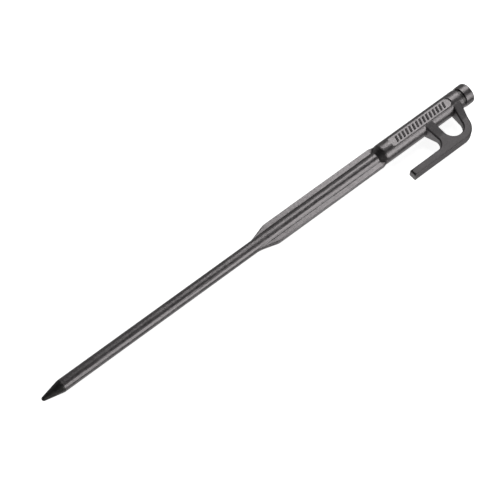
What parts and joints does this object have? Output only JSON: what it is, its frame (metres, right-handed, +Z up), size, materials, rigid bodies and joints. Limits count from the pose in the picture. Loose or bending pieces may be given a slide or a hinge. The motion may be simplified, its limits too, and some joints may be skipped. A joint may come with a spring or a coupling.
{
  "type": "tent stake",
  "caption": "Forged steel tent stake with a round shank, two fins, a barrel with a hooked arm and closed cord eye, and a grooved striking head.",
  "frame": {"origin": "centre of the struck face, on the stake's axis", "axes": "+X out of the struck face along the stake's axis, so the point is at -X; the hook stands out towards -Y; +Z is up, square to the hook's plate, with the stake lying on its side"},
  "size_m": [0.3, 0.03, 0.0124],
  "materials": {
    "coated_steel": "satin dark grey coating with a fine cast grain"
  },
  "bodies": {
    "root": {"point": "coated_steel", "shank": "coated_steel", "blade_core": "coated_steel", "fin_hook_side": "coated_steel", "fin_back_side": "coated_steel", "neck_flare": "coated_steel", "barrel": "coated_steel", "head_groove": "coated_steel", "striking_head": "coated_steel", "lower_leg": "coated_steel", "upper_leg": "coated_steel", "hook_web": "coated_steel", "hook_bend": "coated_steel", "hook_arm": "coated_steel"}
  },
  "joints": []
}
